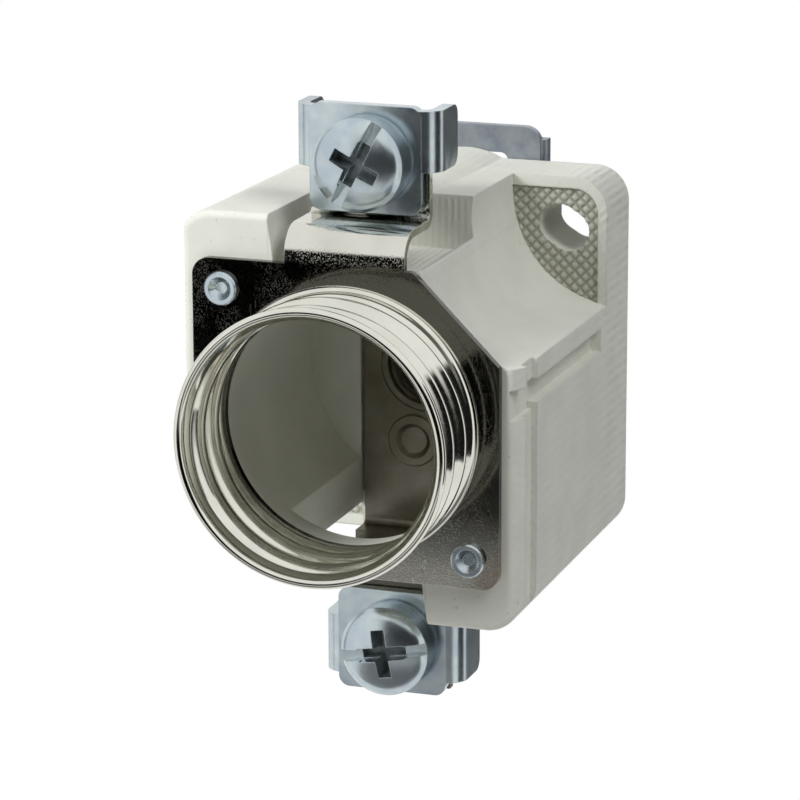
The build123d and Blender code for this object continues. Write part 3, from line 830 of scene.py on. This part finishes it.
@dataclass
class ScrewShell:
    """Screw shell drawn from one sheet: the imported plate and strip, with a sleeve whose thread is a helix."""

    mean_radius: float = 13.3
    swing: float = 0.5
    wall: float = 0.5
    pitch: float = 3.63
    crest_y: float = -43.77
    plate_front: float = -40.7
    root_fillet: float = 0.75
    rim_y: float = -51.4
    bead_radius: float = 0.5
    bead_centre: float = 13.65
    bead_from: float = -30.0
    bead_to: float = 255.0
    bead_points: int = 28
    bead_gap: float = 0.1
    fade_in: float = 0.45
    fade_out: float = 0.32
    around: int = 192
    along: int = 84
    fillet_points: int = 8

    def outer_wall(self) -> tuple[np.ndarray, np.ndarray]:
        """Outer face of the sleeve on a grid of turning angle and length.

        The radius is a mean plus a cosine of the length and of the turn, one pitch for a turn, so its
        crests climb as a right-hand helix. The wave fades in from the plate and out before the bead, each
        over a share of the pitch, and a quarter circle leads from the plate into the wall.

        Returns:
            Positions along Y and radii, each of one row for a turning angle.
        """
        turn = np.linspace(0.0, 2.0 * math.pi, self.around, endpoint=False)[:, None]
        curve = np.linspace(0.0, math.pi / 2.0, self.fillet_points, endpoint=False)
        last = self.rim_y + 2.0 * self.bead_radius + self.bead_gap
        y = np.concatenate(
            [
                self.plate_front - self.root_fillet * (1.0 - np.cos(curve)),
                np.linspace(self.plate_front - self.root_fillet, last, self.along),
            ]
        )
        lift = np.concatenate([self.root_fillet * (1.0 - np.sin(curve)), np.zeros(self.along)])
        growing = smooth_step((self.plate_front - y) / (self.fade_in * self.pitch))
        fading = smooth_step((y - last) / (self.fade_out * self.pitch))
        wave = np.cos(2.0 * math.pi * (y[None, :] - self.crest_y) / self.pitch + turn)
        radius = self.mean_radius + lift + self.swing * growing * fading * wave
        return np.broadcast_to(y, radius.shape), radius

    def sleeve(self) -> Surface:
        """Closed sleeve: outer wall, bead, and the inner wall one sheet behind the outer along its normal.

        Returns:
            The sleeve's surface, with the second finish.
        """
        y, radius = self.outer_wall()
        slope_y, slope_r = np.gradient(y, axis=1), np.gradient(radius, axis=1)
        length = np.hypot(slope_y, slope_r)
        inner_y = y - self.wall * slope_r / length
        inner_r = radius + self.wall * slope_y / length
        roll = np.radians(np.linspace(self.bead_from, self.bead_to, self.bead_points))
        bead_y = self.rim_y + self.bead_radius + self.bead_radius * np.cos(roll)
        bead_r = self.bead_centre + self.bead_radius * np.sin(roll)
        bead_shape = (self.around, bead_y.size)
        loop_y = np.hstack([y, np.broadcast_to(bead_y, bead_shape), inner_y[:, ::-1]])
        loop_r = np.hstack([radius, np.broadcast_to(bead_r, bead_shape), inner_r[:, ::-1]])
        turn = np.linspace(0.0, 2.0 * math.pi, self.around, endpoint=False)[:, None]
        points = np.stack([loop_r * np.cos(turn), loop_y, loop_r * np.sin(turn)], -1).reshape(-1, 3)
        quads = grid_quads(self.around, loop_y.shape[1], True, True)
        return Surface(points, [faces_outward(points, quads)], [1])

    def plate(self, node: Object) -> Surface:
        """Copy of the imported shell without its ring-shaped sleeve.

        Args:
            node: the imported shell.

        Returns:
            Plate and terminal strip.
        """
        copy = merged_copy(node)
        triangles = copy.faces[0]
        corners = copy.points[triangles]
        reach = np.hypot(corners[:, :, 0], corners[:, :, 2]).max(axis=1)
        front = corners[:, :, 1].min(axis=1)
        within = reach < self.bead_centre + 2 * self.bead_radius
        sleeve = within & (front < self.plate_front - ON_PLANE)
        return Surface(copy.points, [triangles[~sleeve]], [0])

    def build(self, node: Object, finishes: Finishes) -> None:
        """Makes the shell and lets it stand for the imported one.

        Args:
            node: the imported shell.
            finishes: the base's finishes.
        """
        whole = self.plate(node).joined(self.sleeve())
        shell = whole.make("screw_shell_rolled", [finishes.rolled_nickel, finishes.drawn_nickel])
        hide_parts("screw_shell")
        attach(shell, Body.BASE.value)
        log.info("screw shell: %d faces", len(shell.data.polygons))


def screw_thread(
    profile: tuple[float, float, float], ends: tuple[float, float], pitch: float
) -> tuple[np.ndarray, np.ndarray, np.ndarray]:
    """Grid of a right-hand thread about the Y axis.

    The depth of the groove follows a triangle wave of the length, less a pitch for each turn, with its
    crests and roots cut flat, and fades out over the last pitch at both ends.

    Args:
        profile: crest radius, root radius and the share of the pitch that is flat.
        ends: first and last position along Y.
        pitch: length of one turn.

    Returns:
        Angles, positions along Y and radii of the grid, one row for an angle.
    """
    crest, root, flat = profile
    first, last = ends
    turn = np.linspace(0.0, 2.0 * math.pi, THREAD_AROUND, endpoint=False)[:, None]
    y = np.linspace(first, last, int(abs(last - first) / pitch * THREAD_ALONG) + 1)[None, :]
    phase = (y / pitch + turn / (2.0 * math.pi)) % 1.0
    wave = np.clip((1.0 - np.abs(2.0 * phase - 1.0) - flat) / (1.0 - 2.0 * flat), 0.0, 1.0)
    inside = smooth_step((y - first) / pitch) * smooth_step((last - y) / pitch)
    radius = crest + (root - crest) * wave * inside
    return turn, np.broadcast_to(y, radius.shape), radius


@dataclass
class TerminalScrew:
    """Terminal screw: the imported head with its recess, over a shank with a rolled thread."""

    node_name: str
    body: Body
    height: float
    seat_y: float
    length: float = 10.6
    crest_radius: float = 2.45
    root_radius: float = 2.02
    pitch: float = 0.8
    flat: float = 0.12
    smooth_neck: float = 1.2
    dome: float = 1.0
    recess_reach: float = 4.2

    def shank(self) -> Surface:
        """Plain neck, thread and bevelled tip as one closed surface.

        Returns:
            The shank's surface.
        """
        tip = self.seat_y + self.length
        profile = (self.crest_radius, self.root_radius, self.flat)
        turn, y, radius = screw_thread(profile, (self.seat_y + self.smooth_neck, tip), self.pitch)
        radius = np.minimum(radius, self.crest_radius - self.pitch + (tip - y))
        ends = np.ones((turn.size, 1))
        y = np.hstack([ends * self.seat_y, ends * self.seat_y, y, ends * tip])
        radius = np.hstack([0.0 * ends, self.crest_radius * ends, radius, 0.0 * ends])
        points = np.stack([radius * np.cos(turn), y, self.height + radius * np.sin(turn)], -1).reshape(-1, 3)
        quads = grid_quads(turn.size, y.shape[1], True, False)
        from_seat = points - np.array([0.0, self.seat_y, self.height])
        return Surface(points, [faces_outward(from_seat, quads)], [0])

    def head(self, node: Object) -> Surface:
        """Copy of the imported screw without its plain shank.

        Args:
            node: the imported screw.

        Returns:
            Head, with the walls and floor of its recess as a part of their own.
        """
        copy = merged_copy(node)
        corners = copy.points[copy.faces[0]]
        reach = np.hypot(corners[:, :, 0], corners[:, :, 2] - self.height).max(axis=1)
        behind = corners[:, :, 1].min(axis=1) > self.seat_y - ON_PLANE
        shank = behind & (reach < self.crest_radius + ON_CYLINDER)
        deep = corners[:, :, 1].max(axis=1) > copy.points[:, 1].min() + self.dome
        recess = deep & ~behind & (reach < self.recess_reach)
        outside, inside = (copy.faces[0][~shank & part] for part in (~recess, recess))
        return Surface(copy.points, [outside, inside], [0, 1])

    def build(self, node: Object, finishes: Finishes) -> None:
        """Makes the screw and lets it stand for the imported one.

        Args:
            node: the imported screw.
            finishes: the base's finishes.
        """
        # The recess takes the zinc with painted recess shade
        screw = self.head(node).joined(self.shank()).make(
            f"{self.node_name}_threaded", [finishes.blue_zinc, finishes.shaded_recess_zinc]
        )
        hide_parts(self.node_name)
        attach(screw, self.body.value)
        log.info("%s: %d faces", screw.name, len(screw.data.polygons))


@dataclass
class GaugeBush:
    """Bush of the gauge screw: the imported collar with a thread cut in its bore."""

    front_y: float = -16.3
    length: float = 8.0
    crest_radius: float = 4.0
    root_radius: float = 4.4
    pitch: float = 1.25
    flat: float = 0.1

    def build(self, node: Object, finishes: Finishes) -> None:
        """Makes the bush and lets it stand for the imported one.

        Args:
            node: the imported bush.
            finishes: the base's finishes.
        """
        copy = merged_copy(node)
        corners = copy.points[copy.faces[0]]
        bore = np.hypot(corners[:, :, 0], corners[:, :, 2]).max(axis=1) < self.crest_radius + ON_CYLINDER
        collar = Surface(copy.points, [copy.faces[0][~bore]], [0])
        profile = (self.crest_radius, self.root_radius, self.flat)
        turn, y, radius = screw_thread(profile, (self.front_y, self.front_y + self.length), self.pitch)
        points = np.stack([radius * np.cos(turn), y, radius * np.sin(turn)], -1).reshape(-1, 3)
        quads = grid_quads(turn.size, y.shape[1], True, False)
        from_middle = points - np.array([0.0, y.mean(), 0.0])
        wall = Surface(points, [faces_outward(from_middle, quads)[:, ::-1]], [0])
        bush = collar.joined(wall).make("gauge_screw_bush_threaded", [finishes.dull_nickel])
        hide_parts("gauge_screw_bush")
        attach(bush, Body.BASE.value)
        log.info("%s: %d faces", bush.name, len(bush.data.polygons))


@dataclass
class LatchSpring:
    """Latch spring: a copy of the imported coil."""

    fixed_end: float = 14.0
    lift: float = 3.0

    def build(self, node: Object, finishes: Finishes) -> None:
        """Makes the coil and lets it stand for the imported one.

        Args:
            node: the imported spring.
            finishes: the base's finishes.
        """
        coil = merged_copy(node)
        spring = coil.make("latch_spring_coil", [finishes.wire])
        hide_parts("latch_spring")
        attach(spring, Body.BASE.value)
        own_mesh(spring)


@dataclass
class KnurledSeat:
    """Knurled floor of a fixing lug: rounded studs between two families of grooves at 45 degrees."""

    name: str
    half_turn: bool
    floor_y: float = -9.7
    scoop: tuple[float, float] = (19.3, 18.2)
    scoop_radius: float = 11.7
    half_width: float = 17.0
    half_height: float = 18.8
    corner: float = 2.6
    slot: tuple[float, float] = (13.2, 14.5)
    slot_length: float = 5.6
    slot_width: float = 4.4
    slot_tilt: float = -31.0
    pitch: float = 0.85
    rise: float = 0.24
    lift: float = 0.02
    thickness: float = 0.05
    sharp_above: float = 60.0
    steps: int = 10

    def inside(self, x: np.ndarray, z: np.ndarray) -> np.ndarray:
        """Whether points lie in the scoop and the rounded border, and outside the slot.

        Args:
            x: positions to the right.
            z: heights.

        Returns:
            One truth value for each point.
        """
        in_scoop = np.hypot(x - self.scoop[0], z - self.scoop[1]) < self.scoop_radius
        over_x = np.maximum(np.abs(x) - (self.half_width - self.corner), 0.0)
        over_z = np.maximum(np.abs(z) - (self.half_height - self.corner), 0.0)
        in_border = np.hypot(over_x, over_z) < self.corner
        tilt = math.radians(self.slot_tilt)
        right, up = x - self.slot[0], z - self.slot[1]
        along = right * math.cos(tilt) + up * math.sin(tilt)
        across = up * math.cos(tilt) - right * math.sin(tilt)
        straight = (self.slot_length - self.slot_width) / 2.0
        beyond = np.maximum(np.abs(along) - straight, 0.0)
        return in_scoop & in_border & (np.hypot(beyond, across) > self.slot_width / 2.0)

    def surface(self) -> Surface:
        """Height over a lattice turned by 45 degrees.

        The height is the root of the product of two raised cosines, one along each lattice direction,
        so each cell of the knurl is a rounded stud. Only lattice cells whose middle is inside the seat
        are kept.

        Returns:
            The seat's surface.
        """
        step = self.pitch / self.steps
        count = int(2 * self.scoop_radius / step)
        u, v = np.meshgrid(np.arange(count) * step, np.arange(count) * step, indexing="ij")
        height = self.rise * np.sqrt(self.hill(u) * self.hill(v))
        x = self.slot[0] + (u - v) / math.sqrt(2.0)
        z = self.slot[1] - 2 * self.scoop_radius / math.sqrt(2.0) + (u + v) / math.sqrt(2.0)
        side = -1.0 if self.half_turn else 1.0
        points = np.stack([side * x, self.floor_y - self.lift - height, side * z], -1).reshape(-1, 3)
        quads = grid_quads(count, count, False, False)
        middle = np.stack([x, z], -1).reshape(-1, 2)[quads].mean(axis=1)
        kept = quads[self.inside(middle[:, 0], middle[:, 1])]
        used, number = np.unique(kept, return_inverse=True)
        kept = number.reshape(kept.shape)
        points = points[used]
        a, b, c = (points[kept[0, i]] for i in (0, 1, 2))
        if np.cross(b - a, c - a)[1] > 0:
            kept = kept[:, ::-1]
        return Surface(points, [kept], [0])

    def hill(self, position: np.ndarray) -> np.ndarray:
        """Raised cosine that is 0 in each groove and 1 half a pitch away."""
        return 0.5 - 0.5 * np.cos(2.0 * math.pi * position / self.pitch)

    def build(self, finishes: Finishes) -> None:
        """Makes the seat as a thin closed skin on the lug's floor.

        Args:
            finishes: the base's finishes.
        """
        surface = self.surface()
        seat = surface.make(self.name, [finishes.knurled_steatite], self.sharp_above)
        height = (self.floor_y - self.lift - surface.points[:, 1]) / self.rise
        groove = seat.data.attributes.new(KNURL_ATTRIBUTE, "FLOAT", "POINT")
        groove.data.foreach_set("value", (1.0 - height).astype(np.float32))
        skin = seat.modifiers.new("skin", "SOLIDIFY")
        skin.thickness = self.thickness * MM
        skin.offset = -1.0
        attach(seat, Body.BASE.value)
        log.info("%s: %d faces", self.name, len(seat.data.polygons))


@dataclass(frozen=True)
class StudioCard:
    """Flat card of the studio that only gloss shows, clear towards its edges."""

    name: str
    direction: tuple[float, float, float]
    distance: float
    width: float
    height: float
    brightness: float
    soft: float

    def build(self, centre: Vector) -> None:
        """Places the card at its distance, facing the object.

        Args:
            centre: the point that it faces.
        """
        out = Vector(self.direction).normalized()
        side = out.cross(Vector((0.0, 0.0, 1.0))).normalized()
        up = side.cross(out)
        middle = centre + out * self.distance
        half = (side * self.width / 2, up * self.height / 2)
        corners = [middle + a * half[0] + b * half[1] for a, b in SQUARE]
        mesh = bpy.data.meshes.new(self.name)
        mesh.from_pydata([tuple(c) for c in corners], [], [(0, 1, 2, 3)])
        place = mesh.uv_layers.new(name=CARD_PLACE)
        place.data.foreach_set("uv", [0.0, 0.0, 1.0, 0.0, 1.0, 1.0, 0.0, 1.0])
        mesh.materials.append(self.material())
        card = add_object(self.name, mesh)
        card.visible_camera = False
        card.visible_diffuse = False
        card.visible_shadow = False
        card.visible_transmission = False
        card.visible_volume_scatter = False
        log.info("studio card %s", self.name)

    def material(self) -> Material:
        """Even glow that fades to clear within the soft border, from the card's own coordinate.

        Returns:
            The material.
        """
        material = bpy.data.materials.new(self.name)
        tree = empty_tree(material)
        place = add_node(tree, "ShaderNodeUVMap", uv_map=CARD_PLACE)
        along = add_node(tree, "ShaderNodeSeparateXYZ", (place,))
        steps = []
        for axis, side in (("X", self.width), ("Y", self.height)):
            middle = add_node(tree, "ShaderNodeMath", (along.outputs[axis], 0.5), operation="SUBTRACT")
            away = add_node(tree, "ShaderNodeMath", (middle,), operation="ABSOLUTE")
            full = 0.5 - min(0.5, self.soft / side)
            steps.append(
                add_node(
                    tree,
                    "ShaderNodeMapRange",
                    (away, 0.5, full, 0.0, 1.0),
                    interpolation_type="SMOOTHSTEP",
                )
            )
        level = (*[self.brightness] * 3, 1.0)
        glow = add_node(tree, "ShaderNodeEmission", {"Color": level, "Strength": 1.0})
        clear = add_node(tree, "ShaderNodeBsdfTransparent")
        mixed = add_node(tree, "ShaderNodeMixShader", (product(tree, *steps), clear, glow))
        add_node(tree, "ShaderNodeOutputMaterial", {"Surface": mixed})
        return material


@dataclass(frozen=True)
class Softbox:
    """Square soft lamp for the matt surfaces. In gloss the bright room and the cards take its place."""

    name: str
    direction: tuple[float, float, float]
    distance: float
    size: float
    power: float
    tint: tuple[float, float, float] = (0.965, 0.98, 1.0)

    def build(self, centre: Vector) -> None:
        """Places the lamp at its distance, facing the object.

        Args:
            centre: the point that it faces.
        """
        light = bpy.data.lights.new(self.name, "AREA")
        light.size = self.size
        light.energy = self.power
        light.color = self.tint
        lamp = add_object(self.name, light)
        lamp.visible_glossy = False
        out = Vector(self.direction).normalized()
        lamp.location = centre + out * self.distance
        lamp.rotation_euler = out.to_track_quat("Z", "Y").to_euler()
        log.info("softbox %s", self.name)


SOFTBOXES = (
    Softbox("key_softbox", (-0.62, -0.66, 0.50), distance=0.8, size=0.36, power=6.5),
    Softbox("high_right_softbox", (0.68, -0.29, 0.85), distance=0.8, size=0.4, power=3.1),
    Softbox("overhead_softbox", (-0.1, -0.15, 1.0), distance=0.75, size=0.6, power=0.8),
    Softbox("right_wall_bounce", (1.0, 0.25, 0.35), distance=0.8, size=0.5, power=0.25),
)
CARDS = (
    StudioCard(
        "dark_room_ahead", (0.155, -0.988, -0.05),
        distance=0.5, width=0.88, height=0.46, brightness=0.004, soft=0.12,
    ),
    StudioCard(
        "dark_wall_right", (0.9986, 0.052, -0.05),
        distance=0.5, width=0.42, height=0.72, brightness=0.01, soft=0.07,
    ),
    StudioCard(
        "grey_wall_behind_right", (0.48, 1.0, -0.12),
        distance=0.6, width=0.56, height=0.5, brightness=0.1, soft=0.07,
    ),
    StudioCard(
        "grey_table_ahead", (-0.1, -0.75, -0.8),
        distance=0.2, width=0.4, height=0.17, brightness=0.16, soft=0.05,
    ),
    StudioCard(
        "grey_wall_left", (-1.0, 0.1, 0.05),
        distance=0.6, width=0.12, height=0.6, brightness=0.1, soft=0.05,
    ),
)


@dataclass
class Studio:
    """Pale floor, white surroundings, soft lights and the camera."""

    centre: tuple[float, float, float] = (0.0, -0.025, 0.0)
    floor_drop: float = 0.25
    floor_reach: float = 3.0
    floor_colour: str = "#E6E6E4"
    fill: float = 0.03
    gloss: float = 0.95
    camera_turn: float = 19.461
    camera_lift: float = 14.73
    camera_roll: float = -0.172
    camera_distance: float = 0.405
    camera_target: tuple[float, float, float] = (0.000479, -0.02554, -0.001306)
    lens: float = 176.9
    sensor: float = 36.0
    nearest: float = 0.01
    farthest: float = 20.0

    def rays(self, tree: Tree) -> tuple[Node, Socket]:
        """Marks of the rays that look at the background.

        Args:
            tree: node tree of the world or of the floor.

        Returns:
            A node that gives 1 for camera and transmission rays, and a socket that gives 1 for glossy rays.
        """
        path = add_node(tree, "ShaderNodeLightPath").outputs
        straight = (path["Is Camera Ray"], path["Is Transmission Ray"])
        return add_node(tree, "ShaderNodeMath", straight, operation="MAXIMUM"), path["Is Glossy Ray"]

    def world(self) -> None:
        """White for the camera and behind glass, a softer white in gloss, a plain fill on matt surfaces."""
        world = bpy.data.worlds.new("studio_room")
        bpy.context.scene.world = world
        tree = empty_tree(world)
        straight, glossy = self.rays(tree)
        level = add_node(tree, "ShaderNodeMix", {"Factor": glossy, "A": self.fill, "B": self.gloss})
        strength = add_node(tree, "ShaderNodeMix", {"Factor": straight, "A": level, "B": 1.0})
        back = add_node(tree, "ShaderNodeBackground", {"Color": WHITE, "Strength": strength})
        add_node(tree, "ShaderNodeOutputWorld", {"Surface": back})

    def floor(self) -> None:
        """Pale floor well below the base, white to the camera and nearly so in gloss, as the world is."""
        reach = self.floor_reach
        mesh = bpy.data.meshes.new("studio_floor")
        corners = [(a * reach, b * reach, -self.floor_drop) for a, b in SQUARE]
        mesh.from_pydata(corners, [], [(0, 1, 2, 3)])
        material = bpy.data.materials.new("pale_floor")
        tree = empty_tree(material)
        straight, glossy = self.rays(tree)
        bright = add_node(tree, "ShaderNodeMath", (glossy, self.gloss), operation="MULTIPLY")
        level = add_node(tree, "ShaderNodeMath", (straight, bright), operation="MAXIMUM")
        shown = add_node(tree, "ShaderNodeMath", (straight, glossy), operation="MAXIMUM")
        plain = add_node(tree, "ShaderNodeBsdfDiffuse", {"Color": linear(self.floor_colour)})
        white = add_node(tree, "ShaderNodeEmission", {"Color": WHITE, "Strength": level})
        mixed = add_node(tree, "ShaderNodeMixShader", (shown, plain, white))
        add_node(tree, "ShaderNodeOutputMaterial", {"Surface": mixed})
        mesh.materials.append(material)
        floor = add_object("studio_floor", mesh)

    def camera(self) -> None:
        """Camera at the photograph's angle, solved from the shell's circles and the block's edges."""
        angles = (self.camera_turn, self.camera_lift, self.camera_roll)
        turn, lift, roll = (math.radians(angle) for angle in angles)
        ahead = Vector((-math.sin(turn) * math.cos(lift), math.cos(turn) * math.cos(lift), -math.sin(lift)))
        right = Vector((math.cos(turn), math.sin(turn), 0.0))
        up = right.cross(ahead)
        level = right * math.cos(roll) + up * math.sin(roll)
        upright = up * math.cos(roll) - right * math.sin(roll)
        place = Vector(self.camera_target) - ahead * self.camera_distance
        data = bpy.data.cameras.new("product_camera")
        data.lens = self.lens
        data.sensor_width = self.sensor
        data.clip_start = self.nearest
        data.clip_end = self.farthest
        camera = add_object("product_camera", data)
        camera.matrix_world = Matrix(
            (
                (level.x, upright.x, -ahead.x, place.x),
                (level.y, upright.y, -ahead.y, place.y),
                (level.z, upright.z, -ahead.z, place.z),
                (0.0, 0.0, 0.0, 1.0),
            )
        )
        bpy.context.scene.camera = camera

    def build(self) -> None:
        """Sets up the whole studio."""
        bpy.context.scene.view_settings.view_transform = "Standard"
        centre = Vector(self.centre)
        self.world()
        self.floor()
        for part in SOFTBOXES + CARDS:
            part.build(centre)
        self.camera()
        log.info("studio ready")


def main() -> None:
    """Loads the frame, builds the studio and every piece."""
    logging.basicConfig(level=logging.INFO, format="%(name)s: %(message)s")
    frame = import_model()
    Studio().build()
    nodes = frame["nodes"]
    finishes = Finishes()
    finishes.dress(nodes)
    ScrewShell().build(nodes["screw_shell"], finishes)
    screws = (
        TerminalScrew("top_screw", Body.TOP_BOLT, height=25.4, seat_y=-35.3),
        TerminalScrew("bottom_screw", Body.BOTTOM_BOLT, height=-27.4, seat_y=-27.9),
    )
    for screw in screws:
        screw.build(nodes[screw.node_name], finishes)
    GaugeBush().build(nodes["gauge_screw_bush"], finishes)
    LatchSpring().build(nodes["latch_spring"], finishes)
    KnurledSeat("knurled_seat_right", half_turn=False).build(finishes)
    KnurledSeat("knurled_seat_left", half_turn=True).build(finishes)


if __name__ == "__main__":
    main()
